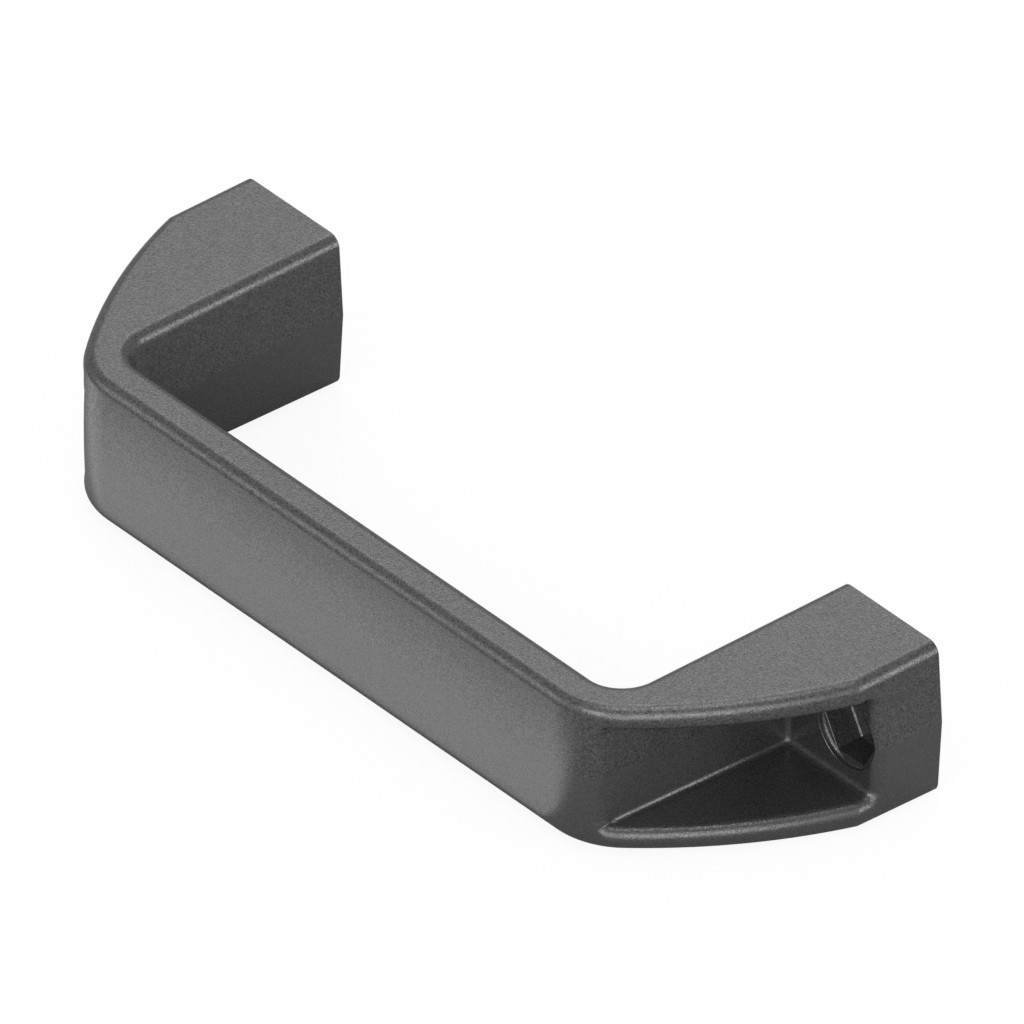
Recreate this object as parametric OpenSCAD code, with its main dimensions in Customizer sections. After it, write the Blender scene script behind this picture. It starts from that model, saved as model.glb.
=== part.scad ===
/* [Fixing] */
// Distance between the centres of the two screw holes
hole_pitch = 150; // [130:1:200]
// Diameter of each screw hole
screw_hole_d = 6.6; // [5:0.1:8]
// Width across the flats of each hexagon seat
hex_flats = 10.5; // [9:0.1:11]
// Depth of each hexagon seat below its counterbore
hex_depth = 4.9; // [3:0.1:6]
// Diameter of the round counterbore over each hexagon seat
counterbore_d = 12.9; // [12:0.1:14]
// Depth of each counterbore
counterbore_depth = 1; // [0.4:0.1:2]

/* [Feet] */
// Distance from a screw hole's centre to the outer side of its foot
foot_overhang = 7.5; // [7:0.1:10]
// Width of a foot along the handle, at the parting plane
foot_w = 24.1; // [22:0.1:28]
// Height of a foot's straight outer side above its mounting face
foot_straight = 15.7; // [15:0.1:18]
// Thickness of the wall that the screw clamps
clamp_wall = 12.7; // [10:0.1:13.5]

/* [Grip and legs] */
// Depth from the mounting faces to the front of the grip
handle_depth = 52.1; // [48:0.1:58]
// Width of the handle at its mounting faces
handle_w = 27.6; // [26:0.1:34]
// Thickness of the grip at the parting plane
grip_thick = 8.5; // [7:0.1:12]
// Angle at which the long curve leaves the foot's straight side
kink_angle = 19.4; // [17:0.1:22]
// Radius of the long curve down the outside of each leg
leg_r = 94; // [85:1:110]
// Radius of the outer corner between a leg and the grip
outer_corner_r = 14.4; // [12:0.1:17]
// Radius of the inner corner between a leg and the grip
inner_corner_r = 5.2; // [4:0.1:10]

/* [Moulding] */
// Lean of the feet and inner walls away from the parting plane, in degrees
draft = 4; // [1:0.1:5]
// Lean of each side face, which narrows the handle towards the grip, in degrees
side_taper = 0.9; // [0:0.05:1.5]
// Radius of the crown across the front of the grip
crown_r = 210; // [100:10:600]
// Radius of the rounded long edges
edge_r = 2.1; // [1:0.1:2.5]

/* [Pockets] */
// Opening of each pocket across the width of the handle
pocket_w = 18; // [15:0.1:19]
// Thickness of a leg's inner wall beside the clamped wall, at the parting plane
leg_wall = 3.3; // [2.4:0.1:4.5]
// Angle by which a leg's inner wall thins towards the grip, in degrees
leg_wall_lean = 1.6; // [0:0.1:2]
// Radius of the rounded rim of each pocket
rim_r = 2; // [1:0.1:2.4]
// Radius of the corners of each rim at its grip end, in the pocket's wall
run_out_bend = 1.5; // [1:0.1:3]
// Radius of the fillets inside each pocket
pocket_fillet = 0.6; // [0.3:0.1:1]

/* [Hidden] */

// Steps along the curves and across the walls and edges
leg_steps = 16;
corner_steps = 12;
wall_steps = 3;
round_steps = 6;
rim_steps = 6;
rim_corner_steps = 4;
run_out_steps = 2;
fillet_steps = 3;
round_facets = 96;

// How far a cutter reaches past the surface it opens
cut_over = 1;

// Places that follow from the sizes above, on the side of the first screw hole
hole_x = hole_pitch / 2;
foot_x = hole_x + foot_overhang;
inner_x = foot_x - foot_w;
back_x = inner_x + leg_wall;
grip_y = grip_thick - handle_depth;
pocket_half = pocket_w / 2;

// A direction in the plan, turned from +X towards the grip
function heading(a) = [cos(a), -sin(a)];

// Centres of the long curve, the outer corner and the inner corner
kink = [foot_x, -foot_straight];
leg_centre = kink - leg_r * heading(kink_angle);
corner_y = outer_corner_r - handle_depth;
corner_reach = leg_r - outer_corner_r;
corner_x = leg_centre.x + sqrt(corner_reach ^ 2 - (leg_centre.y - corner_y) ^ 2);
corner_centre = [corner_x, corner_y];
inner_centre = [inner_x - inner_corner_r, grip_y + inner_corner_r];

// Angle at which the long curve passes into the outer corner, and its length up to there
corner_start = atan2(leg_centre.y - corner_y, corner_x - leg_centre.x);
arc_unit = PI / 180;
leg_len = leg_r * (corner_start - kink_angle) * arc_unit;

// Half width of the handle at a place y along its depth
function half_w(y) = handle_w / 2 + y * tan(side_taper);

// How far a wall stands back from its outline at height z, and its slope there.
// A share of 1 is a drafted wall, 0 is the crowned front of the grip.
function crown_rise(z) = sqrt(crown_r ^ 2 - z ^ 2);
function wall_back(z, share) = share * abs(z) * tan(draft) + (1 - share) * (crown_r - crown_rise(z));
function wall_slope(z, share) = atan(share * tan(draft) + (1 - share) * abs(z) / crown_rise(z));

// Where the rounding of the long edges ends on a side face
function round_depth(half, share) = wall_back(half - edge_r, share) + edge_r / cos(wall_slope(half - edge_r, share));

// A station of an outline: a point, the outward direction there and the share of draft
function station_half(s) =
    let (first = half_w(s[0].y - s[1].y * round_depth(half_w(s[0].y), s[2])))
    half_w(s[0].y - s[1].y * round_depth(first, s[2]));

// The wall of a station from one side face to the other, as pairs of set-back and height
function upper_wall(half, share) =
    let (slope = wall_slope(half - edge_r, share))
    let (depth = round_depth(half, share))
    let (z_end = half - edge_r + edge_r * sin(slope))
    [
        for (i = [0 : wall_steps]) [wall_back(z_end * i / wall_steps, share), z_end * i / wall_steps],
        for (i = [1 : round_steps])
            let (a = slope + (90 - slope) * i / round_steps)
            [depth - edge_r * cos(a), half - edge_r + edge_r * sin(a)]
    ];
function full_wall(upper) = [
    for (i = [len(upper) - 1 : -1 : 1]) [upper[i][0], -upper[i][1]],
    each upper
];
function wall_points(s) = [
    for (w = full_wall(upper_wall(station_half(s), s[2])))
        [s[0].x - s[1].x * w[0], s[0].y - s[1].y * w[0], w[1]]
];

// The outer outline, from the mounting face over the kink and the long curve to the grip
miter = heading(kink_angle / 2) / cos(kink_angle / 2);
outer_half = [
    [[foot_x, 0], [1, 0], 1],
    [kink, miter, 1],
    for (i = [1 : leg_steps])
        let (a = kink_angle + (corner_start - kink_angle) * i / leg_steps)
        [leg_centre + leg_r * heading(a), heading(a), 1 - i / leg_steps],
    for (i = [1 : corner_steps])
        let (a = corner_start + (90 - corner_start) * i / corner_steps)
        [corner_centre + outer_corner_r * heading(a), heading(a), 0],
    [[0, -handle_depth], [0, -1], 0]
];

// The inner outline, with as many stations
straight_y = grip_y + inner_corner_r;
inner_half = [
    for (i = [0 : leg_steps + 1]) [[inner_x, straight_y * i / (leg_steps + 1)], [-1, 0], 1],
    for (i = [1 : corner_steps])
        let (a = 90 * i / corner_steps)
        [inner_centre + inner_corner_r * heading(a), -heading(a), 1],
    [[0, grip_y], [0, 1], 1]
];

// A closed section of the handle at one pair of stations
function backwards(points) = [for (i = [len(points) - 1 : -1 : 0]) points[i]];
function section(i) = concat(wall_points(outer_half[i]), backwards(wall_points(inner_half[i])));
function mirrored(points) = [for (p = points) [-p.x, p.y, p.z]];

// Faces between closed rings of equal size, as triangles
function ring_faces(rings, size) = [
    for (i = [0 : rings - 2], j = [0 : size - 1])
        let (a = i * size + j)
        let (b = i * size + (j + 1) % size)
        each [[a, a + size, b], [b, a + size, b + size]]
];

module swept_body() {
    last = len(outer_half) - 1;
    half = [for (i = [0 : last]) section(i)];
    sections = concat(half, [for (i = [last - 1 : -1 : 0]) mirrored(half[i])]);
    size = len(half[0]);
    first_cap = [for (j = [0 : size - 1]) j];
    last_cap = [for (j = [size - 1 : -1 : 0]) (len(sections) - 1) * size + j];
    polyhedron(
        points = [for (s = sections) each s],
        faces = concat([first_cap], ring_faces(len(sections), size), [last_cap]),
        convexity = 6
    );
}

// A place on the outer outline, by its distance q from the kink towards the grip
function outline_angle(q) =
    q < 0 ? 0 : q < leg_len ? kink_angle + q / leg_r / arc_unit : corner_start + (q - leg_len) / outer_corner_r / arc_unit;
function outline_point(q) =
    q < 0 ? kink - [0, q]
    : q < leg_len ? leg_centre + leg_r * heading(outline_angle(q))
    : corner_centre + outer_corner_r * heading(outline_angle(q));
function outline_out(q) = q == 0 ? miter : heading(outline_angle(q));
function outline_share(q) = min(1, max(0, 1 - q / leg_len));

// The plane of a pocket's back wall: its outward direction and its distance from the origin
back_out = heading(leg_wall_lean);
back_dist = [back_x, -clamp_wall] * back_out;
function back_at(y) = back_x + (y + clamp_wall) * tan(leg_wall_lean);

// Depth below the outline at which a line straight in from q meets the back wall
function back_depth(q) = (outline_point(q) * back_out - back_dist) / (outline_out(q) * back_out);

// The rounded end of a pocket's rim at the grip: the arc between the outer corner and the back wall
function run_out_reach(z) = outer_corner_r - wall_back(z, 0) - rim_r;
function run_out_swing(z) = acos((back_dist - rim_r - corner_centre * back_out) / run_out_reach(z));
function run_out_angle(z) = leg_wall_lean + run_out_swing(z);
function run_out(turn, z) =
    let (a = run_out_swing(z) * (1 - turn / 90))
    corner_centre + run_out_reach(z) * heading(run_out_angle(z)) + rim_r * heading(leg_wall_lean + a);
function run_out_q(turn) =
    let (p = run_out(turn, 0) - corner_centre)
    leg_len + outer_corner_r * (atan2(-p.y, p.x) - corner_start) * arc_unit;
function run_out_depth(turn, z) = outer_corner_r - wall_back(z, 0) - norm(run_out(turn, z) - corner_centre);

// One ring of a pocket's rim: a turn of 0 lies in the outer face, 90 in the pocket's walls
foot_bend = 1.5 * pocket_fillet;
foot_q = foot_straight - clamp_wall - foot_bend;

// How far the cutter's first two rings stand proud of the outer face
mouth_proud = 4;
skin_proud = 0.02;

// Shares of the depth left at the grip end that the rim and the fillet may take
rim_limit = 0.97;
fillet_limit = 0.8;
function rim_point(q, z, depth) =
    let (p = outline_point(q) - outline_out(q) * (wall_back(z, outline_share(q)) + depth))
    [p.x, p.y, z];
function rim_depth(q, depth) = q <= 0 ? depth : min(depth, rim_limit * back_depth(q));
function half_ring(turn, proud) =
    let (grow = rim_r * (1 - sin(turn)))
    let (depth = rim_r * (1 - cos(turn)) - proud)
    let (low = pocket_half + grow)
    let (bend = foot_bend + grow)
    let (end_bend = run_out_bend + grow)
    let (end_q = run_out_q(turn))
    [
        for (i = [0 : run_out_steps])
            let (z = -(low - end_bend) * i / run_out_steps)
            let (p = run_out(turn, z) + proud * heading(run_out_angle(z)))
            [p.x, p.y, z],
        for (i = [1 : rim_corner_steps])
            let (a = 90 * i / rim_corner_steps)
            let (q = end_q - end_bend * (1 - cos(a)))
            let (z = -(low - end_bend) - end_bend * sin(a))
            let (near = (run_out_depth(turn, z) - proud) * cos(a) ^ 2)
            rim_point(q, z, near + rim_depth(q, depth) * sin(a) ^ 2),
        for (i = [1 : leg_steps])
            let (q = (end_q - end_bend) * (1 - i / leg_steps))
            rim_point(q, -low, rim_depth(q, depth)),
        for (i = [0 : rim_corner_steps])
            let (a = 90 * i / rim_corner_steps)
            rim_point(-foot_q - bend * sin(a), -(low - bend) - bend * cos(a), depth),
        rim_point(-foot_q - bend, -(low - bend) / 2, depth),
        rim_point(-foot_q - bend, 0, depth)
    ];

// The inset of each point of a half ring towards the middle of the pocket, as [y, z]
half_insets = [
    for (i = [0 : run_out_steps]) [1, 0],
    for (i = [1 : rim_corner_steps]) heading(-90 * i / rim_corner_steps),
    for (i = [1 : leg_steps]) [0, 1],
    for (i = [0 : rim_corner_steps]) [-sin(90 * i / rim_corner_steps), cos(90 * i / rim_corner_steps)],
    [-1, 0],
    [-1, 0]
];

// A ring of the fillet between the pocket's walls and its back, from 0 to fillet_steps
function run_out_slide(step) = pocket_fillet * (step + 1) / (fillet_steps + 1);
function fillet_ring(base, step) = [
    for (i = [0 : len(base) - 1])
        let (a = 90 * step / fillet_steps)
        let (p = base[i])
        let (inset = half_insets[i])
        let (r = min(pocket_fillet, fillet_limit * (p.x - back_at(p.y))))
        let (y = p.y + inset.x * (inset.x > 0 ? run_out_slide(step) : pocket_fillet * (1 - cos(a))))
        [back_at(y) + r * (1 - sin(a)), y, p.z + inset.y * r * (1 - cos(a))]
];

function whole_ring(half) = concat(half, [
    for (i = [len(half) - 2 : -1 : 1]) [half[i].x, half[i].y, -half[i].z]
]);

// Faces that close a whole ring of 2n points: strips across the width, and a fan at each end
cap_near = run_out_steps + rim_corner_steps;
cap_far = cap_near + leg_steps;
function ring_cap(n, first) = [
    for (k = [0 : 2 * cap_near - 2])
        [first + cap_near, first + (2 * n - cap_near + k) % (2 * n), first + (2 * n - cap_near + k + 1) % (2 * n)],
    for (j = [cap_near : cap_far - 1])
        each [
            [first + j, first + j + 1, first + 2 * n - j - 1],
            [first + j, first + 2 * n - j - 1, first + 2 * n - j]
        ],
    for (k = [cap_far + 1 : 2 * n - cap_far - 1]) [first + cap_far, first + k, first + k + 1]
];
function turned(faces) = [for (f = faces) [f[2], f[1], f[0]]];

module pocket() {
    base = half_ring(90, 0);
    halves = concat(
        [half_ring(0, mouth_proud), half_ring(0, skin_proud)],
        [for (i = [1 : rim_steps]) half_ring(90 * i / rim_steps, 0)],
        [for (i = [0 : fillet_steps]) fillet_ring(base, i)]
    );
    n = len(base) - 1;
    rings = [for (h = halves) whole_ring(h)];
    last = (len(rings) - 1) * 2 * n;
    polyhedron(
        points = [for (r = rings) each r],
        faces = concat(turned(ring_cap(n, 0)), turned(ring_faces(len(rings), 2 * n)), ring_cap(n, last)),
        convexity = 6
    );
}

// The screw's way through a foot: counterbore, hexagon seat and hole
module screw_way() {
    hex_top = clamp_wall - counterbore_depth;
    hex_floor = hex_top - hex_depth;
    translate([hole_x, 0, 0])
        rotate([90, 0, 0]) {
            translate([0, 0, hex_top])
                cylinder(d = counterbore_d, h = counterbore_depth + cut_over, $fn = round_facets);
            translate([0, 0, hex_floor])
                cylinder(d = hex_flats / cos(30), h = hex_depth + cut_over, $fn = 6);
            translate([0, 0, -cut_over])
                cylinder(d = screw_hole_d, h = hex_floor + 2 * cut_over, $fn = round_facets);
        }
}

module handle() {
    color([0.25, 0.25, 0.26])
        difference() {
            swept_body();
            pocket();
            mirror([1, 0, 0])
                pocket();
            screw_way();
            mirror([1, 0, 0])
                screw_way();
        }
}

handle();
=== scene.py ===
"""A moulded bar handle, dressed in grained nylon and shown on a plain white floor.

The handle is one injection-moulded piece, so it is one mesh here too. Its shape follows a rule: a section is
carried along an outline, and a pocket, a counterbore, a hexagon seat and a hole are taken out of each leg.
Geometry Nodes build that mesh from the sizes in millimetres.
"""

import logging
import math
from dataclasses import dataclass, fields
from enum import Enum
from typing import Union

import bpy
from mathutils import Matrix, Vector


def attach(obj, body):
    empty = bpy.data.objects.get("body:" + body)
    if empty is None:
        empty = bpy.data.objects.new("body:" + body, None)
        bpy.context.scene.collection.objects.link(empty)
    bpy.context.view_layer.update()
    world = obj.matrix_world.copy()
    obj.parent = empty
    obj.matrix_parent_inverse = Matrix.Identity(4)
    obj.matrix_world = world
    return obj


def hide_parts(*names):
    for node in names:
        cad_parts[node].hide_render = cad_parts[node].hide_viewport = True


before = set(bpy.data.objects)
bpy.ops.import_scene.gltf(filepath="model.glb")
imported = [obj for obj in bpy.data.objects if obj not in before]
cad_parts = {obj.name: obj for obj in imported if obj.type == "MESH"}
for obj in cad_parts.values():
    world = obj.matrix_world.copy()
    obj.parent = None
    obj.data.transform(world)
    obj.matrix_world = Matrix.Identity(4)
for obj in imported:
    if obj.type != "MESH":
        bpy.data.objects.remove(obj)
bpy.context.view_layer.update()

log = logging.getLogger("bar_handle")

Number = Union["Field", float]
Plan = tuple["Field", "Field"]

MM_PER_METRE = 1000.0
WHITE = (1.0, 1.0, 1.0, 1.0)


class Field:
    """A number in a node tree, on which plain arithmetic can be written."""

    def __init__(self, socket: bpy.types.NodeSocket) -> None:
        """Wraps an output socket.

        Args:
            socket: the socket that holds the number.
        """
        self.socket = socket

    def _node(self, operation: str, *values: Number) -> "Field":
        """Adds one math node.

        Args:
            operation: the node's operation.
            values: its inputs in order, as fields or plain numbers.

        Returns:
            The node's result.
        """
        tree = self.socket.id_data
        node = tree.nodes.new("ShaderNodeMath")
        node.operation = operation
        for plug, value in zip(node.inputs, values):
            if isinstance(value, Field):
                tree.links.new(value.socket, plug)
            else:
                plug.default_value = value
        return Field(node.outputs[0])

    def __add__(self, other: Number) -> "Field":
        """Adds a number."""
        return self._node("ADD", self, other)

    __radd__ = __add__

    def __sub__(self, other: Number) -> "Field":
        """Takes a number away."""
        return self._node("SUBTRACT", self, other)

    def __rsub__(self, other: Number) -> "Field":
        """Is taken away from a number."""
        return self._node("SUBTRACT", other, self)

    def __mul__(self, other: Number) -> "Field":
        """Multiplies by a number."""
        return self._node("MULTIPLY", self, other)

    __rmul__ = __mul__

    def __truediv__(self, other: Number) -> "Field":
        """Divides by a number."""
        return self._node("DIVIDE", self, other)

    def __rtruediv__(self, other: Number) -> "Field":
        """Divides a number."""
        return self._node("DIVIDE", other, self)

    def __neg__(self) -> "Field":
        """Changes the sign."""
        return self._node("MULTIPLY", self, -1.0)

    def __abs__(self) -> "Field":
        """Drops the sign."""
        return self._node("ABSOLUTE", self)

    def sin(self) -> "Field":
        """Sine of an angle in radians."""
        return self._node("SINE", self)

    def cos(self) -> "Field":
        """Cosine of an angle in radians."""
        return self._node("COSINE", self)

    def tan(self) -> "Field":
        """Tangent of an angle in radians."""
        return self._node("TANGENT", self)

    def atan(self) -> "Field":
        """Angle in radians that has this tangent."""
        return self._node("ARCTANGENT", self)

    def acos(self) -> "Field":
        """Angle in radians that has this cosine."""
        return self._node("ARCCOSINE", self)

    def atan2(self, across: Number) -> "Field":
        """Angle in radians of the point (across, self)."""
        return self._node("ARCTAN2", self, across)

    def sqrt(self) -> "Field":
        """Square root."""
        return self._node("SQRT", self)

    def rounded(self) -> "Field":
        """Nearest whole number."""
        return self._node("ROUND", self)

    def sign(self) -> "Field":
        """One above nought, minus one below it."""
        return self._node("SIGN", self)

    def at_least(self, floor: Number) -> "Field":
        """The larger of this and another number."""
        return self._node("MAXIMUM", self, floor)

    def at_most(self, ceiling: Number) -> "Field":
        """The smaller of this and another number."""
        return self._node("MINIMUM", self, ceiling)

    def above(self, limit: Number) -> "Field":
        """One where this is above a limit, nought elsewhere."""
        return self._node("GREATER_THAN", self, limit)

    def below(self, limit: Number) -> "Field":
        """One where this is below a limit, nought elsewhere."""
        return self._node("LESS_THAN", self, limit)

    def squared(self) -> "Field":
        """This times itself."""
        return self._node("MULTIPLY", self, self)

    def ramp(self, start: Number, length: Number) -> "Field":
        """Climbs from nought to one over a stretch, and stays level before and after it.

        Args:
            start: where the climb starts.
            length: how long it takes.

        Returns:
            The climb, held between nought and one.
        """
        return ((self - start) / length).at_least(0.0).at_most(1.0)

    def mix(self, other: Number, share: Number) -> "Field":
        """Passes from this number to another.

        Args:
            other: the number at a share of one.
            share: how much of the other is wanted.

        Returns:
            The mixture.
        """
        return self + (other - self) * share


def stand(name: str, data: bpy.types.ID) -> bpy.types.Object:
    """Puts a new object into the scene.

    Args:
        name: the object's name.
        data: its mesh, lamp or camera.

    Returns:
        The object, at the origin.
    """
    thing = bpy.data.objects.new(name, data)
    bpy.context.scene.collection.objects.link(thing)
    return thing


def heading(angle: Field) -> Plan:
    """Direction in the plan, turned from +X towards the grip.

    Args:
        angle: the turn in radians.

    Returns:
        Its X and Y parts.
    """
    return angle.cos(), -angle.sin()


def along(point: Plan, direction: Plan, distance: Number) -> Plan:
    """Moves a point of the plan.

    Args:
        point: where it starts.
        direction: which way it goes.
        distance: how far it goes.

    Returns:
        Where it ends.
    """
    return point[0] + direction[0] * distance, point[1] + direction[1] * distance


@dataclass(frozen=True)
class HandleSizes:
    """The handle's sizes, in millimetres and degrees.

    They are the CAD model's, apart from three small ones. The pocket's fillet is fuller here, and the CAD
    model's screw seats have no bevel at their floors and no broken edge at their mouths.
    """

    hole_pitch: float = 150.0
    screw_hole_d: float = 6.6
    hex_flats: float = 10.5
    hex_depth: float = 4.9
    counterbore_d: float = 12.9
    counterbore_depth: float = 1.0
    foot_overhang: float = 7.5
    foot_w: float = 24.1
    foot_straight: float = 15.7
    clamp_wall: float = 12.7
    handle_depth: float = 52.1
    handle_w: float = 27.6
    grip_thick: float = 8.5
    kink_angle: float = 19.4
    leg_r: float = 94.0
    outer_corner_r: float = 14.4
    inner_corner_r: float = 5.2
    draft: float = 4.0
    side_taper: float = 0.9
    crown_r: float = 210.0
    edge_r: float = 2.1
    pocket_w: float = 18.0
    leg_wall: float = 3.3
    leg_wall_lean: float = 1.6
    rim_r: float = 2.0
    run_out_bend: float = 1.5
    pocket_fillet: float = 0.85
    seat_fillet: float = 0.28
    edge_break: float = 0.14

    ANGLES = ("kink_angle", "draft", "side_taper", "leg_wall_lean")

    @staticmethod
    def label(name: str) -> str:
        """A size's name in words, as the node tree's input shows it."""
        return name.replace("_", " ").capitalize()

    def inputs(self) -> dict[str, float]:
        """Names each size in words, with angles in radians.

        Returns:
            The value of each named input of the node tree.
        """
        named = {}
        for item in fields(self):
            value = getattr(self, item.name)
            named[self.label(item.name)] = math.radians(value) if item.name in self.ANGLES else value
        return named


@dataclass(frozen=True)
class Fineness:
    """How many steps each stretch of the mesh is cut into."""

    foot: int = 6
    leg: int = 54
    corner: int = 26
    grip: int = 12
    wall: int = 8
    edge: int = 14
    rim: int = 18
    fillet: int = 6
    end_line: int = 10
    end_corner: int = 12
    pocket_leg: int = 60
    foot_line: int = 4
    foot_corner: int = 10
    round_holes: int = 128

    def half_columns(self) -> int:
        """Stations from a mounting face to the middle of the grip."""
        return self.foot + self.leg + self.corner + self.grip

    def wall_rows(self) -> int:
        """Rows from the parting plane to a side face."""
        return self.wall + self.edge

    def stretches(self) -> tuple[int, ...]:
        """Steps of each stretch of half a pocket's ring, from the grip end to the foot end."""
        grip_end = (self.end_line, self.end_corner)
        return (*grip_end, self.pocket_leg, self.foot_line, self.foot_corner, self.end_line)

    def half_ring(self) -> int:
        """Points from one end of a pocket's ring to the other."""
        return sum(self.stretches())


class Plug(Enum):
    """Kinds of socket that the trees have."""

    GEOMETRY = "NodeSocketGeometry"
    NUMBER = "NodeSocketFloat"
    MATERIAL = "NodeSocketMaterial"


class HandleTree:
    """The node tree that builds the handle's mesh from its sizes."""

    MILLIMETRE = 0.001
    WELD = 0.002
    ON_KINK = 0.001
    CREASE_ANGLE = math.radians(15.0)
    PARTING_ANGLE = math.radians(1.5)
    MOUTH_PROUD = 4.0
    SKIN_PROUD = 0.002
    CUT_OVER = 1.0
    OVERLAP = 0.01
    RIM_LIMIT = 0.985
    FILLET_LIMIT = 0.85
    FOOT_BEND = 1.5
    CLOSING_PULL = 0.1
    FLARE_IN = 0.5
    FLARE_OUT = 1.5

    def __init__(self, sizes: HandleSizes, fineness: Fineness) -> None:
        """Builds the whole tree.

        Args:
            sizes: the handle's sizes, used as the inputs' first values.
            fineness: the steps of the mesh.
        """
        self.fineness = fineness
        self.tree = bpy.data.node_groups.new("moulded_handle", "GeometryNodeTree")
        self.tree.is_modifier = True
        self._open_sockets(sizes)
        self._place_outline()
        self._place_pocket()
        body = self._body()
        cutters = [self._pocket(), *self._screw_way()]
        solid = self._cut(body, cutters)
        self._finish(solid)

    # Sockets and small helpers

    def _open_sockets(self, sizes: HandleSizes) -> None:
        """Adds the named inputs and the output.

        Args:
            sizes: the first values of the inputs.
        """
        face = self.tree.interface
        face.new_socket(name="Geometry", in_out="OUTPUT", socket_type=Plug.GEOMETRY.value)
        for label, value in sizes.inputs().items():
            socket = face.new_socket(name=label, in_out="INPUT", socket_type=Plug.NUMBER.value)
            socket.default_value = value
        face.new_socket(name="Finish", in_out="INPUT", socket_type=Plug.MATERIAL.value)
        self.source = self.tree.nodes.new("NodeGroupInput")
        for item in fields(sizes):
            setattr(self, item.name, Field(self.source.outputs[sizes.label(item.name)]))

    def _new(self, kind: str, **inputs: object) -> bpy.types.Node:
        """Adds a node and fills its inputs.

        Args:
            kind: the node's type.
            inputs: values or output sockets by input name, with _ for a space.

        Returns:
            The node.
        """
        node = self.tree.nodes.new(kind)
        for name, value in inputs.items():
            plug = node.inputs[name.replace("_", " ")]
            if isinstance(value, Field):
                value = value.socket
            if isinstance(value, bpy.types.NodeSocket):
                self.tree.links.new(value, plug)
            else:
                plug.default_value = value
        return node

    def _vector(self, x: Number, y: Number, z: Number) -> bpy.types.NodeSocket:
        """Joins three numbers.

        Args:
            x: the first number.
            y: the second number.
            z: the third number.

        Returns:
            The vector's socket.
        """
        return self._new("ShaderNodeCombineXYZ", X=x, Y=y, Z=z).outputs[0]

    def _grid(self, columns: int, rows: int) -> tuple[bpy.types.NodeSocket, Field, Field]:
        """Adds a flat grid and counts its columns and rows from nought.

        Args:
            columns: points along X.
            rows: points along Y.

        Returns:
            The grid's mesh, the column of each point and its row.
        """
        grid = self._new(
            "GeometryNodeMeshGrid", Size_X=columns - 1.0, Size_Y=rows - 1.0, Vertices_X=columns, Vertices_Y=rows
        )
        place = self._new("GeometryNodeInputPosition").outputs[0]
        parts = self._new("ShaderNodeSeparateXYZ", Vector=place).outputs
        column = (Field(parts[0]) + (columns - 1) / 2).rounded()
        row = (Field(parts[1]) + (rows - 1) / 2).rounded()
        return grid.outputs["Mesh"], column, row

    def _shaped(self, mesh: bpy.types.NodeSocket, x: Field, y: Field, z: Field) -> bpy.types.NodeSocket:
        """Moves a grid's points to their places and welds what meets.

        Args:
            mesh: the grid.
            x: the place along X.
            y: the place along Y.
            z: the place along Z.

        Returns:
            The closed mesh.
        """
        moved = self._new("GeometryNodeSetPosition", Geometry=mesh, Position=self._vector(x, y, z))
        welded = self._new("GeometryNodeMergeByDistance", Geometry=moved.outputs[0], Distance=self.WELD)
        return welded.outputs[0]

    def _mirrored(self, mesh: bpy.types.NodeSocket) -> bpy.types.NodeSocket:
        """Copies a closed mesh to the other leg.

        Args:
            mesh: the mesh on the +X side.

        Returns:
            Its mirror image, facing outwards too.
        """
        copy = self._new("GeometryNodeTransform", Geometry=mesh, Scale=(-1.0, 1.0, 1.0))
        return self._turned_out(copy.outputs[0])

    def _turned_out(self, mesh: bpy.types.NodeSocket) -> bpy.types.NodeSocket:
        """Turns every face of a mesh round, so that they point outwards."""
        return self._new("GeometryNodeFlipFaces", Mesh=mesh).outputs[0]

    # Outlines and walls

    def _place_outline(self) -> None:
        """Works out where the arcs of the outlines lie, on the +X side."""
        self.foot_x = self.hole_pitch / 2.0 + self.foot_overhang
        self.inner_x = self.foot_x - self.foot_w
        self.grip_y = self.grip_thick - self.handle_depth
        corner_y = self.outer_corner_r - self.handle_depth
        kink_out = heading(self.kink_angle)
        leg_centre = along((self.foot_x, -self.foot_straight), kink_out, -self.leg_r)
        rise = leg_centre[1] - corner_y
        reach = self.leg_r - self.outer_corner_r
        run = (reach.squared() - rise.squared()).sqrt()
        self.corner_centre = (leg_centre[0] + run, corner_y)
        self.corner_start = rise.atan2(run)
        self.leg_len = self.leg_r * (self.corner_start - self.kink_angle)
        self.corner_len = self.outer_corner_r * (math.pi / 2 - self.corner_start)
        self.kink_out = kink_out
        self.corner_out = heading(self.corner_start)

    def _outline(self, q: Field) -> tuple[Plan, Plan, Field]:
        """Follows the outer outline.

        Args:
            q: the distance from the kink, below nought on the foot's straight side.

        Returns:
            The point, the outward direction there and the share of draft in the wall.
        """
        on_leg = q.at_least(0.0).at_most(self.leg_len)
        on_corner = (q - self.leg_len).at_least(0.0).at_most(self.corner_len)
        on_grip = (q - self.leg_len - self.corner_len).at_least(0.0)
        leg_out = heading(self.kink_angle + on_leg / self.leg_r)
        corner_out = heading(self.corner_start + on_corner / self.outer_corner_r)
        x = self.foot_x + self.leg_r * (leg_out[0] - self.kink_out[0])
        x = x + self.outer_corner_r * (corner_out[0] - self.corner_out[0]) - on_grip
        y = -self.foot_straight - q.at_most(0.0) + self.leg_r * (leg_out[1] - self.kink_out[1])
        y = y + self.outer_corner_r * (corner_out[1] - self.corner_out[1])
        past = q.above(self.ON_KINK)
        at_kink = abs(q).below(self.ON_KINK)
        angle = past * (self.kink_angle + on_leg / self.leg_r + on_corner / self.outer_corner_r)
        out = heading(angle + at_kink * self.kink_angle / 2.0)
        miter = 1.0 + at_kink * (1.0 / (self.kink_angle / 2.0).cos() - 1.0)
        share = 1.0 - on_leg / self.leg_len
        return (x, y), (out[0] * miter, out[1] * miter), share

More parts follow.
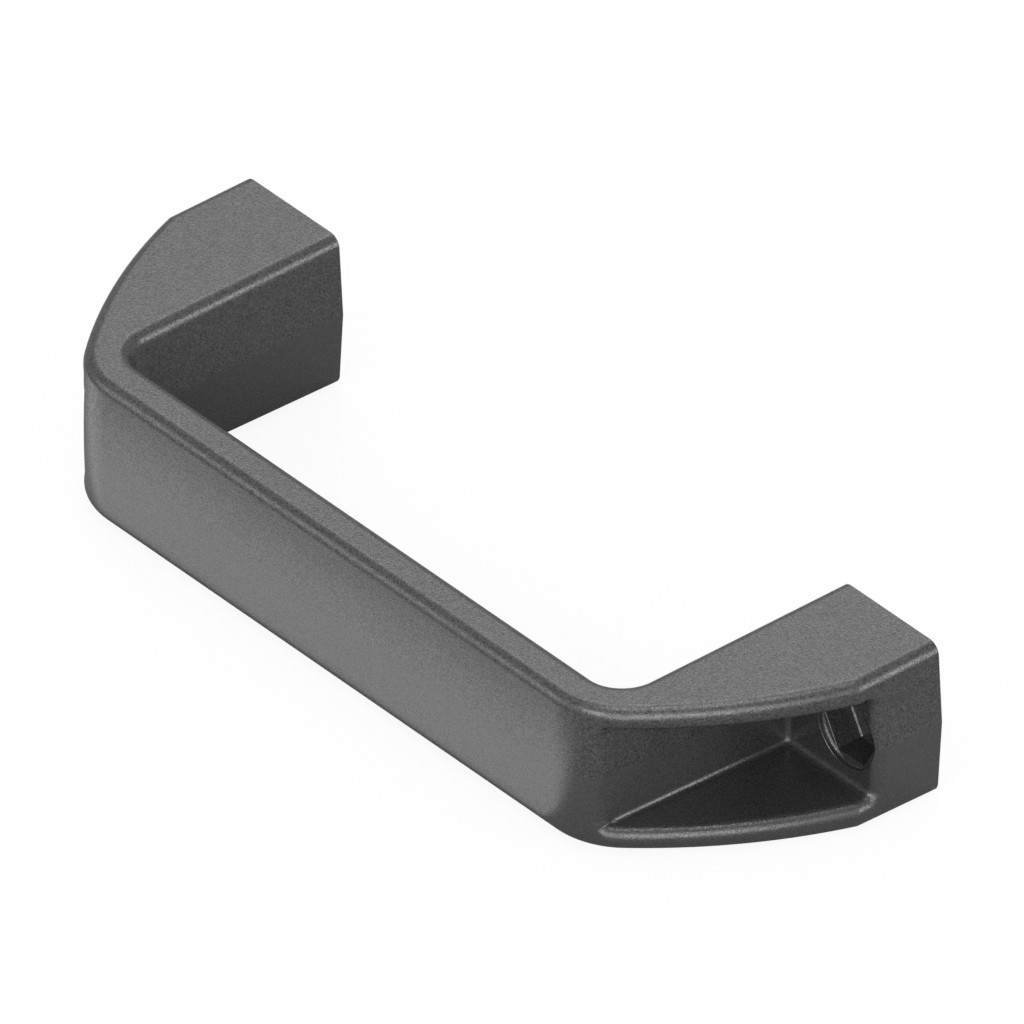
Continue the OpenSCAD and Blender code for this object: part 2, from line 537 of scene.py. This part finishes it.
    def _half_width(self, y: Field) -> Field:
        """Half width of the handle at a place along its depth."""
        return self.handle_w / 2.0 + y * self.side_taper.tan()

    def _wall_back(self, z: Field, share: Number) -> Field:
        """How far a wall stands back from its outline.

        Args:
            z: the height above the parting plane.
            share: one for a drafted wall, nought for the crowned front.

        Returns:
            The set-back.
        """
        crown = self.crown_r - (self.crown_r.squared() - z.squared()).sqrt()
        return share * abs(z) * self.draft.tan() + (1.0 - share) * crown

    def _wall_slope(self, z: Field, share: Number) -> Field:
        """Angle of a wall from the vertical, at a height z and for a share of draft."""
        rise = (self.crown_r.squared() - z.squared()).sqrt()
        return (share * self.draft.tan() + (1.0 - share) * abs(z) / rise).atan()

    def _round_depth(self, half: Field, share: Number) -> Field:
        """Where the rounding of a long edge ends on a side face of that half width."""
        z = half - self.edge_r
        return self._wall_back(z, share) + self.edge_r / self._wall_slope(z, share).cos()

    def _wall(self, base: Plan, out: Plan, share: Number, s: Field) -> tuple[Field, Field, Field]:
        """One wall with its rounded edges.

        Args:
            base: the outline's point.
            out: the outward direction there.
            share: the share of draft.
            s: from -1 at one side face to 1 at the other.

        Returns:
            The place of the wall's point.
        """
        half = self._half_width(base[1] - out[1] * self._round_depth(self._half_width(base[1]), share))
        half = self._half_width(base[1] - out[1] * self._round_depth(half, share))
        steps = self.fineness
        row = abs(s) * float(steps.wall_rows())
        flat = row.ramp(0.0, steps.wall)
        turn = row.ramp(steps.wall, steps.edge)
        z_arc = half - self.edge_r
        slope = self._wall_slope(z_arc, share)
        angle = slope.mix(math.pi / 2, turn)
        z_flat = (z_arc + self.edge_r * slope.sin()) * flat
        z_round = z_arc + self.edge_r * angle.sin()
        back_round = self._round_depth(half, share) - self.edge_r * angle.cos()
        rounded = turn.above(0.0)
        back = self._wall_back(z_flat, share).mix(back_round, rounded)
        x, y = along(base, out, -back)
        return x, y, z_flat.mix(z_round, rounded) * s.sign()

    def _body(self) -> bpy.types.NodeSocket:
        """Carries the section from one mounting face to the other.

        Returns:
            The closed body, with nothing cut out of it.
        """
        steps = self.fineness
        half, rows = steps.half_columns(), steps.wall_rows()
        mesh, column, row = self._grid(2 * half + 3, 4 * rows + 3)
        station = (column - 1.0).at_least(0.0).at_most(2.0 * half)
        index = station.at_most(2.0 * half - station)
        side = 1.0 - 2.0 * station.above(float(half))
        capped = (column.below(0.5) + column.above(2 * half + 1.5)).at_most(1.0)
        foot = index.ramp(0.0, steps.foot)
        leg = index.ramp(steps.foot, steps.leg)
        corner = index.ramp(steps.foot + steps.leg, steps.corner)
        grip = index.ramp(steps.foot + steps.leg + steps.corner, steps.grip)
        q = self.foot_straight * (foot - 1.0) + self.leg_len * leg + self.corner_len * corner
        q = q + self.corner_centre[0] * grip
        point, out, share = self._outline(q)
        closing = row.above(4.0 * rows + 1.5)
        outer_s = (row / float(rows) - 1.0).mix(-1.0, closing)
        outer = self._wall(point, out, share, outer_s)
        turn = heading(corner * (math.pi / 2))
        straight_y = self.grip_y + self.inner_corner_r
        inner_x = self.inner_x + self.inner_corner_r * (turn[0] - 1.0)
        inner_x = inner_x - (self.inner_x - self.inner_corner_r) * grip
        inner_y = straight_y * index.ramp(0.0, steps.foot + steps.leg) + self.inner_corner_r * turn[1]
        inner_s = (3.0 * rows + 1.0 - row) / float(rows)
        inner = self._wall((inner_x, inner_y), (-turn[0], -turn[1]), 1.0, inner_s)
        within = row.above(2.0 * rows + 0.5) * (1.0 - closing)
        x, y, z = (a.mix(b, within) for a, b in zip(outer, inner))
        x = x.mix((self.foot_x + self.inner_x) / 2.0, capped)
        return self._turned_out(self._shaped(mesh, x * side, y, z))

    # Pocket

    def _place_pocket(self) -> None:
        """Works out the planes and arcs of the pocket on the +X side."""
        self.back_x = self.inner_x + self.leg_wall
        self.back_out = heading(self.leg_wall_lean)
        self.back_dist = self.back_x * self.back_out[0] - self.clamp_wall * self.back_out[1]
        centre = self.corner_centre
        self.centre_dist = centre[0] * self.back_out[0] + centre[1] * self.back_out[1]

    def _back_at(self, y: Field) -> Field:
        """Place along X of the pocket's back wall at y."""
        return self.back_x + (y + self.clamp_wall) * self.leg_wall_lean.tan()

    def _run_out(self, turn: Field, z: Field) -> Plan:
        """The rounded end of the rim at the grip, from the centre of the outer corner.

        Args:
            turn: nought in the outer face, one in the back wall.
            z: the height above the parting plane.

        Returns:
            The point in plan.
        """
        reach = self.outer_corner_r - self._wall_back(z, 0.0) - self.rim_r
        swing = ((self.back_dist - self.rim_r - self.centre_dist) / reach).acos()
        far = heading(self.leg_wall_lean + swing)
        near = heading(self.leg_wall_lean + swing * (1.0 - turn))
        return far[0] * reach + near[0] * self.rim_r, far[1] * reach + near[1] * self.rim_r

    def _pocket(self) -> bpy.types.NodeSocket:
        """Builds the solid that is taken out of the +X leg for its pocket.

        Returns:
            The cutter, with its rounded rim and inner fillets.
        """
        steps = self.fineness
        rings, points = steps.rim + steps.fillet + 5, 2 * steps.half_ring() + 1
        mesh, ring, place = self._grid(rings, points)
        turn = ring.ramp(2.0, steps.rim)
        angle = turn * (math.pi / 2)
        proud = self.MOUTH_PROUD * (ring.below(1.5) + ring.below(0.5)) + self.SKIN_PROUD * ring.below(2.5)
        fillet_ring = ring - (steps.rim + 3.0)
        in_fillet = fillet_ring.above(-0.5)
        last = fillet_ring.above(steps.fillet + 0.5)
        fillet = fillet_ring.ramp(0.0, steps.fillet) * (math.pi / 2)

        # How far a point has come along each stretch of its half of the ring
        k = place.at_most(2.0 * steps.half_ring() - place)
        side = 2.0 * place.above(float(steps.half_ring())) - 1.0
        start = 0
        parts = []
        for length in steps.stretches():
            parts.append(k.ramp(float(start), length))
            start += length
        end_line, end_turn, leg, foot_line, foot_turn, foot_end = parts
        end_turn, foot_turn = end_turn * (math.pi / 2), foot_turn * (math.pi / 2)

        # The ring's outline on the outer face
        grow = self.rim_r * (1.0 - angle.sin())
        low = self.pocket_w / 2.0 + grow
        foot_bend = self.pocket_fillet * self.FOOT_BEND + grow
        foot_q = self.foot_straight - self.clamp_wall - self.pocket_fillet * self.FOOT_BEND
        end_bend = self.run_out_bend + grow
        level = self._run_out(turn, Field(self.tree.nodes.new("ShaderNodeValue").outputs[0]))
        end_q = self.leg_len + self.outer_corner_r * ((-level[1]).atan2(level[0]) - self.corner_start)
        q = end_q - end_bend * (1.0 - end_turn.cos()) - (end_q - end_bend) * leg
        q = q - foot_q * foot_line - foot_bend * foot_turn.sin()
        z = (low - end_bend) * end_line + end_bend * end_turn.sin()
        z = z - foot_bend * (1.0 - foot_turn.cos()) - (low - foot_bend) * foot_end
        point, out, share = self._outline(q)

        # Its depth below the outer face
        back_depth = point[0] * self.back_out[0] + point[1] * self.back_out[1] - self.back_dist
        back_depth = back_depth / (out[0] * self.back_out[0] + out[1] * self.back_out[1])
        depth = self.rim_r * (1.0 - angle.cos()) - proud
        limited = depth.at_most(back_depth * self.RIM_LIMIT).mix(depth, q.below(self.ON_KINK))
        end = self._run_out(turn, z)
        corner_depth = (end[0].squared() + end[1].squared()).sqrt()
        end_depth = self.outer_corner_r - self._wall_back(z, 0.0) - corner_depth - proud
        depth = limited.mix(end_depth, end_turn.cos().squared())
        x, y = along(point, out, -(self._wall_back(z, share) + depth))

        # The fillet between the walls and the back
        inset_y = end_turn.cos() - foot_turn.sin()
        inset_z = end_turn.sin() * foot_turn.cos()
        radius = self.pocket_fillet.at_most((x - self._back_at(y)) * self.FILLET_LIMIT)
        slide = self.pocket_fillet * (fillet_ring + 1.0).at_most(steps.fillet + 1.0) / (steps.fillet + 1.0)
        drop = (self.pocket_fillet * (1.0 - fillet.cos())).mix(slide, inset_y.above(0.0))
        y_fillet = y + inset_y * drop
        y_fillet = y_fillet.mix(-self.handle_depth / 2.0, last * self.CLOSING_PULL)
        x_fillet = self._back_at(y_fillet) + radius * (1.0 - fillet.sin())
        x = x.mix(x_fillet, in_fillet)
        y = y.mix(y_fillet, in_fillet)
        z = z - inset_z * radius * (1.0 - fillet.cos()) * in_fillet
        flat = 1.0 - (last + ring.below(0.5)).at_most(1.0)
        return self._shaped(mesh, x, y, z * side * flat)

    # Screw seats

    def _upright(self, mesh: bpy.types.NodeSocket, middle: Number) -> bpy.types.NodeSocket:
        """Turns a round or hexagonal cutter to the screw's direction.

        Args:
            mesh: the cutter, centred on the origin along Z.
            middle: the distance of its middle from the mounting plane.

        Returns:
            The cutter in its place on the +X leg.
        """
        spot = self._vector(self.hole_pitch / 2.0, -middle, 0.0)
        placed = self._new(
            "GeometryNodeTransform", Geometry=mesh, Translation=spot, Rotation=(math.pi / 2, 0.0, 0.0)
        )
        return placed.outputs[0]

    def _prism(self, sides: int, radius: Field, bottom: Number, top: Number) -> bpy.types.NodeSocket:
        """A straight cutter between two distances from the mounting plane.

        Args:
            sides: how many sides it has.
            radius: the radius through its corners.
            bottom: the distance of its near end.
            top: the distance of its far end.

        Returns:
            The cutter on the +X leg.
        """
        shape = self._new("GeometryNodeMeshCylinder", Vertices=sides, Radius=radius, Depth=top - bottom)
        return self._upright(shape.outputs["Mesh"], (top + bottom) / 2.0)

    def _flare(self, sides: int, radius: Field, at: Number) -> bpy.types.NodeSocket:
        """A broken edge at the mouth of a seat, which takes half the break off all round.

        Args:
            sides: how many sides the seat has.
            radius: the radius through its corners.
            at: the distance of the mouth from the mounting plane.

        Returns:
            The cutter on the +X leg.
        """
        near = radius - self.edge_break * self.FLARE_IN
        far = radius + self.edge_break * self.FLARE_OUT
        return self._taper(sides, near, far, at - self.edge_break, at + self.edge_break)

    def _recess(self, sides: int, radius: Field, floor: Field, top: Field) -> list[bpy.types.NodeSocket]:
        """A seat with a small bevel where its walls meet its floor.

        Args:
            sides: how many sides it has.
            radius: the radius through its corners.
            floor: the distance of its floor from the mounting plane.
            top: the distance of the cutters' far end.

        Returns:
            The cutters on the +X leg.
        """
        step = floor + self.seat_fillet
        corner = self._taper(sides, radius - self.seat_fillet, radius - self.OVERLAP, floor, step)
        return [self._prism(sides, radius, step - self.OVERLAP * 2.0, top), corner]

    def _taper(self, sides: int, near: Field, far: Field, bottom: Field, top: Field) -> bpy.types.NodeSocket:
        """A cutter that opens or closes between two distances from the mounting plane.

        Args:
            sides: how many sides it has.
            near: the radius at its near end.
            far: the radius at its far end.
            bottom: the distance of its near end.
            top: the distance of its far end.

        Returns:
            The cutter on the +X leg.
        """
        shape = self._new(
            "GeometryNodeMeshCone", Vertices=sides, Radius_Top=far, Radius_Bottom=near, Depth=top - bottom
        )
        half = (top - bottom) / 2.0
        return self._upright(self._centred(shape.outputs["Mesh"], half), (top + bottom) / 2.0)

    def _centred(self, mesh: bpy.types.NodeSocket, half: Field) -> bpy.types.NodeSocket:
        """Moves a cone, which stands on the origin, down by half its height."""
        shift = self._vector(0.0, 0.0, -half)
        return self._new("GeometryNodeTransform", Geometry=mesh, Translation=shift).outputs[0]

    def _screw_way(self) -> list[bpy.types.NodeSocket]:
        """Counterbore, hexagon seat and hole of the +X leg.

        Returns:
            The cutters.
        """
        round_sides = self.fineness.round_holes
        hex_top = self.clamp_wall - self.counterbore_depth
        hex_floor = hex_top - self.hex_depth
        hex_r = self.hex_flats / (2.0 * math.cos(math.pi / 6))
        bore_r = self.counterbore_d / 2.0
        return [
            *self._recess(round_sides, bore_r, hex_top, self.clamp_wall + self.CUT_OVER),
            *self._recess(6, hex_r, hex_floor, hex_top + self.CUT_OVER / 2.0),
            self._prism(round_sides, self.screw_hole_d / 2.0, -self.CUT_OVER, hex_floor + self.CUT_OVER),
            self._flare(round_sides, bore_r, self.clamp_wall),
            self._flare(6, hex_r, hex_top),
        ]

    # Joining

    def _cut(self, body: bpy.types.NodeSocket, cutters: list[bpy.types.NodeSocket]) -> bpy.types.NodeSocket:
        """Takes the cutters and their mirror images out of the body.

        Args:
            body: the closed body.
            cutters: closed meshes on the +X side.

        Returns:
            What is left.
        """
        node = self.tree.nodes.new("GeometryNodeMeshBoolean")
        node.operation = "DIFFERENCE"
        node.solver = "MANIFOLD"
        self.tree.links.new(body, node.inputs["Mesh 1"])
        for cutter in cutters:
            self.tree.links.new(cutter, node.inputs["Mesh 2"])
            self.tree.links.new(self._mirrored(cutter), node.inputs["Mesh 2"])
        return node.outputs["Mesh"]

    def _finish(self, mesh: bpy.types.NodeSocket) -> None:
        """Marks the creases, brings the mesh to metres and gives it its finish.

        Args:
            mesh: the solid in millimetres.
        """
        bend = Field(self._new("GeometryNodeInputMeshEdgeAngle").outputs["Unsigned Angle"])
        place = self._new("GeometryNodeInputPosition").outputs[0]
        height = Field(self._new("ShaderNodeSeparateXYZ", Vector=place).outputs[2])
        level = abs(height).below(self.ON_KINK)
        crease = (bend.above(self.CREASE_ANGLE) + level * bend.above(self.PARTING_ANGLE)).above(0.5)
        smooth = self._new("GeometryNodeSetShadeSmooth", Geometry=mesh, Shade_Smooth=True)
        sharp = self._new(
            "GeometryNodeSetShadeSmooth", Geometry=smooth.outputs[0], Selection=crease, Shade_Smooth=False
        )
        sharp.domain = "EDGE"
        scale = (self.MILLIMETRE,) * 3
        small = self._new("GeometryNodeTransform", Geometry=sharp.outputs[0], Scale=scale)
        real = self._new("GeometryNodeRealizeInstances", Geometry=small.outputs[0])
        dressed = self._new(
            "GeometryNodeSetMaterial", Geometry=real.outputs[0], Material=self.source.outputs["Finish"]
        )
        output = self.tree.nodes.new("NodeGroupOutput")
        self.tree.links.new(dressed.outputs[0], output.inputs["Geometry"])


@dataclass(frozen=True)
class GrainedNylon:
    """Glass-filled nylon as it comes from a finely eroded mould: dark, satin and lightly speckled.

    The colour speckle is fainter below the parting plane.
    """

    name: str = "grained_nylon"
    dark: tuple[float, float, float] = (0.002, 0.002, 0.0021)
    light: tuple[float, float, float] = (0.06, 0.06, 0.0617)
    roughness: float = 0.31
    roughness_swing: float = 0.34
    specular: float = 1.0
    grain_mm: float = 0.22
    grain_depth_mm: float = 0.02
    cloud_mm: float = 14.0
    cloud_share: float = 0.12
    lower_share: float = 0.3
    parting_mm: float = 0.2

    MEAN_GRAIN = 0.5

    def build(self) -> bpy.types.Material:
        """Makes the material.

        Returns:
            The material, ready for a slot.
        """
        material = bpy.data.materials.new(self.name)
        material.use_nodes = True
        tree = material.node_tree
        shader = tree.nodes["Principled BSDF"]
        shader.inputs["Specular IOR Level"].default_value = self.specular
        place = tree.nodes.new("ShaderNodeTexCoord").outputs["Object"]
        pits = tree.nodes.new("ShaderNodeTexVoronoi")
        pits.inputs["Scale"].default_value = MM_PER_METRE / self.grain_mm
        tree.links.new(place, pits.inputs["Vector"])
        parts = tree.nodes.new("ShaderNodeSeparateColor")
        tree.links.new(pits.outputs["Color"], parts.inputs["Color"])
        clouds = tree.nodes.new("ShaderNodeTexNoise")
        clouds.inputs["Scale"].default_value = MM_PER_METRE / self.cloud_mm
        tree.links.new(place, clouds.inputs["Vector"])
        both = tree.nodes.new("ShaderNodeMix")
        both.inputs["Factor"].default_value = self.cloud_share
        tree.links.new(self._halves(tree, place, parts.outputs["Red"]), both.inputs["A"])
        tree.links.new(clouds.outputs["Fac"], both.inputs["B"])
        tint = tree.nodes.new("ShaderNodeMix")
        tint.data_type = "RGBA"
        color_a, color_b = [plug for plug in tint.inputs if plug.type == "RGBA"]
        color_a.default_value = (*self.dark, 1.0)
        color_b.default_value = (*self.light, 1.0)
        tree.links.new(both.outputs["Result"], tint.inputs["Factor"])
        tree.links.new([plug for plug in tint.outputs if plug.type == "RGBA"][0], shader.inputs["Base Color"])
        gloss = tree.nodes.new("ShaderNodeMapRange")
        gloss.inputs["To Min"].default_value = self.roughness - self.roughness_swing / 2.0
        gloss.inputs["To Max"].default_value = self.roughness + self.roughness_swing / 2.0
        tree.links.new(parts.outputs["Green"], gloss.inputs["Value"])
        tree.links.new(gloss.outputs["Result"], shader.inputs["Roughness"])
        bump = tree.nodes.new("ShaderNodeBump")
        bump.inputs["Strength"].default_value = 1.0
        bump.inputs["Distance"].default_value = self.grain_depth_mm / MM_PER_METRE
        tree.links.new(pits.outputs["Distance"], bump.inputs["Height"])
        tree.links.new(bump.outputs["Normal"], shader.inputs["Normal"])
        return material

    def _halves(
        self, tree: bpy.types.NodeTree, place: bpy.types.NodeSocket, grain: bpy.types.NodeSocket
    ) -> bpy.types.NodeSocket:
        """Makes the speckle fainter below the parting plane.

        Args:
            tree: the material's nodes.
            place: where the point is on the piece.
            grain: a number from 0 to 1 for each grain.

        Returns:
            The number with its swing held to each half's share.
        """
        split = tree.nodes.new("ShaderNodeSeparateXYZ")
        tree.links.new(place, split.inputs["Vector"])
        share = tree.nodes.new("ShaderNodeMapRange")
        share.inputs["From Min"].default_value = -self.parting_mm / MM_PER_METRE
        share.inputs["From Max"].default_value = self.parting_mm / MM_PER_METRE
        share.inputs["To Min"].default_value = self.lower_share
        tree.links.new(split.outputs["Z"], share.inputs["Value"])
        swing = tree.nodes.new("ShaderNodeMix")
        swing.inputs["A"].default_value = self.MEAN_GRAIN
        tree.links.new(share.outputs["Result"], swing.inputs["Factor"])
        tree.links.new(grain, swing.inputs["B"])
        return swing.outputs["Result"]


@dataclass
class MouldedBody:
    """The handle itself: grip, legs, feet, pockets and screw seats in one moulding."""

    sizes: HandleSizes
    fineness: Fineness
    finish: GrainedNylon

    NORMAL_WEIGHT = 80

    def build(self) -> bpy.types.Object:
        """Builds the mesh and hangs it on the frame.

        Returns:
            The finished piece.
        """
        material = self.finish.build()
        tree = HandleTree(self.sizes, self.fineness).tree
        carrier = stand("handle_carrier", bpy.data.meshes.new("handle_carrier"))
        modifier = carrier.modifiers.new("moulded_handle", "NODES")
        modifier.node_group = tree
        values = {**self.sizes.inputs(), "Finish": material}
        for item in tree.interface.items_tree:
            if item.in_out == "INPUT":
                modifier[item.identifier] = values[item.name]
        evened = carrier.modifiers.new("even_normals", "WEIGHTED_NORMAL")
        evened.keep_sharp = True
        evened.weight = self.NORMAL_WEIGHT
        seen = carrier.evaluated_get(bpy.context.evaluated_depsgraph_get())
        mesh = bpy.data.meshes.new_from_object(seen)
        mesh.name = "moulded_handle"
        carrier.modifiers.clear()
        bpy.data.objects.remove(carrier)
        piece = stand("moulded_handle", mesh)
        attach(piece, "root")
        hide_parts("handle")
        return piece


class LampShape(Enum):
    """Shapes of lamp in the studio."""

    CARD = "AREA"
    DISTANT = "SUN"


@dataclass(frozen=True)
class Lamp:
    """A soft lamp that looks at the handle from far off."""

    name: str
    azimuth: float
    elevation: float
    power: float
    spread: float

    def build(self, target: Vector) -> bpy.types.Object:
        """Hangs the lamp.

        Args:
            target: the point that it looks at.

        Returns:
            The lamp.
        """
        data = bpy.data.lights.new(self.name, LampShape.DISTANT.value)
        data.energy = self.power
        data.angle = math.radians(self.spread)
        lamp = stand(self.name, data)
        back = direction(self.azimuth, self.elevation)
        lamp.location = target + back
        lamp.rotation_euler = (-back).to_track_quat("-Z", "Y").to_euler()
        return lamp


@dataclass(frozen=True)
class GlowCard:
    """A bright card that lies on the floor in front of the grip and lifts its front face from below."""

    name: str = "floor_card"
    middle: tuple[float, float] = (-0.0295, -0.066)
    size: tuple[float, float] = (0.157, 0.026)
    glow: float = 0.97
    lift: float = 0.001

    def build(self, ground: float) -> bpy.types.Object:
        """Lays the card, facing up.

        Args:
            ground: the height of the floor.

        Returns:
            The card's lamp.
        """
        data = bpy.data.lights.new(self.name, LampShape.CARD.value)
        data.shape = "RECTANGLE"
        data.size, data.size_y = self.size
        data.energy = math.pi * self.glow * self.size[0] * self.size[1]
        card = stand(self.name, data)
        card.location = (*self.middle, ground + self.lift)
        card.rotation_euler = (math.pi, 0.0, 0.0)
        card.visible_camera = False
        return card


def direction(azimuth: float, elevation: float) -> Vector:
    """Direction from the object to a viewer or lamp.

    Args:
        azimuth: nought looks along +Y and 90 along -X, in degrees.
        elevation: the height above the horizon, in degrees.

    Returns:
        A vector of length one.
    """
    a, e = math.radians(azimuth), math.radians(elevation)
    return Vector((math.sin(a) * math.cos(e), -math.cos(a) * math.cos(e), math.sin(e)))


def show_to_camera(
    tree: bpy.types.NodeTree, output: str, lit: bpy.types.NodeSocket, shown: bpy.types.NodeSocket
) -> None:
    """Lets the camera see one shader where every other ray meets another.

    Args:
        tree: the nodes of a world or a material.
        output: the name of its output node.
        lit: the shader that lights the handle.
        shown: the shader that the camera sees.
    """
    ray = tree.nodes.new("ShaderNodeLightPath")
    mix = tree.nodes.new("ShaderNodeMixShader")
    tree.links.new(ray.outputs["Is Camera Ray"], mix.inputs[0])
    tree.links.new(lit, mix.inputs[1])
    tree.links.new(shown, mix.inputs[2])
    tree.links.new(mix.outputs[0], tree.nodes[output].inputs["Surface"])


@dataclass
class Studio:
    """The floor, the lamps and the camera.

    Lengths are in metres, apart from the lens in millimetres, and angles are in degrees.
    """

    ground: float = -0.0138
    azimuth: float = 49.89
    elevation: float = 35.07
    lens: float = 1600.0
    frame_width: float = 0.1555
    target: tuple[float, float, float] = (0.002981, -0.017948, 0.004175)
    sky_level: float = 0.5
    floor_shade: float = 0.35
    shadow_share: float = 0.1
    floor_half: float = 4.0
    floor_roughness: float = 0.9
    nearest_seen: float = 0.1
    view_depth: float = 3.0

    LAMPS = (
        Lamp("overhead", 50.0, 88.0, 0.58, 30.0),
        Lamp("back_high", 230.0, 50.0, 0.46, 32.0),
        Lamp("right_low", 123.0, 10.0, 0.92, 36.0),
        Lamp("right_near", 70.0, 19.0, 0.3, 36.0),
        Lamp("left_near", 10.0, 29.0, 0.85, 28.0),
        Lamp("camera_low", 50.0, 17.0, 1.12, 45.0),
        Lamp("left_low", 318.0, 14.0, 0.32, 30.0),
    )

    def build(self) -> None:
        """Builds everything that isn't the handle."""
        self.build_world()
        self.build_floor()
        for lamp in self.LAMPS:
            lamp.build(Vector(self.target))
        GlowCard().build(self.ground)
        self.build_camera()

    def build_world(self) -> None:
        """Lights the scene evenly, and shows white behind it."""
        world = bpy.data.worlds.new("studio")
        bpy.context.scene.world = world
        world.use_nodes = True
        nodes = world.node_tree.nodes
        sky = nodes["Background"]
        sky.inputs["Color"].default_value = WHITE
        sky.inputs["Strength"].default_value = self.sky_level
        shown = nodes.new("ShaderNodeBackground")
        shown.inputs["Color"].default_value = WHITE
        shown.inputs["Strength"].default_value = 1.0
        show_to_camera(world.node_tree, "World Output", sky.outputs[0], shown.outputs[0])

    def build_floor(self) -> bpy.types.Object:
        """Lays the floor that the handle lies on.

        Returns:
            The floor.
        """
        mesh = bpy.data.meshes.new("floor")
        half = self.floor_half
        corners = [(-half, -half), (half, -half), (half, half), (-half, half)]
        mesh.from_pydata([(x, y, self.ground) for x, y in corners], [], [(0, 1, 2, 3)])
        floor = stand("floor", mesh)
        material = bpy.data.materials.new("floor_paper")
        material.use_nodes = True
        nodes, links = material.node_tree.nodes, material.node_tree.links
        paper = nodes["Principled BSDF"]
        paper.inputs["Base Color"].default_value = (*[self.floor_shade] * 3, 1.0)
        paper.inputs["Roughness"].default_value = self.floor_roughness
        white = nodes.new("ShaderNodeBsdfDiffuse")
        white.inputs["Color"].default_value = WHITE
        glow = nodes.new("ShaderNodeEmission")
        shown = nodes.new("ShaderNodeMixShader")
        shown.inputs[0].default_value = self.shadow_share
        links.new(glow.outputs[0], shown.inputs[1])
        links.new(white.outputs[0], shown.inputs[2])
        show_to_camera(material.node_tree, "Material Output", paper.outputs[0], shown.outputs[0])
        mesh.materials.append(material)
        return floor

    def build_camera(self) -> None:
        """Sets up the long lens that gives the photograph's nearly parallel view."""
        data = bpy.data.cameras.new("camera")
        data.lens = self.lens
        camera = stand("camera", data)
        back = direction(self.azimuth, self.elevation)
        distance = self.frame_width * data.lens / data.sensor_width
        camera.location = Vector(self.target) + back * distance
        camera.rotation_euler = (-back).to_track_quat("-Z", "Y").to_euler()
        data.clip_start, data.clip_end = self.nearest_seen, distance * self.view_depth
        bpy.context.scene.camera = camera


def main() -> None:
    """Builds the handle and its studio."""
    logging.basicConfig(level=logging.INFO, format="%(name)s: %(message)s")
    bpy.context.scene.view_settings.view_transform = "Standard"
    body = MouldedBody(HandleSizes(), Fineness(), GrainedNylon()).build()
    log.info("%s: %d faces", body.name, len(body.data.polygons))
    Studio().build()
    log.info("studio: %d lamps", len(Studio.LAMPS))


if __name__ == "__main__":
    main()
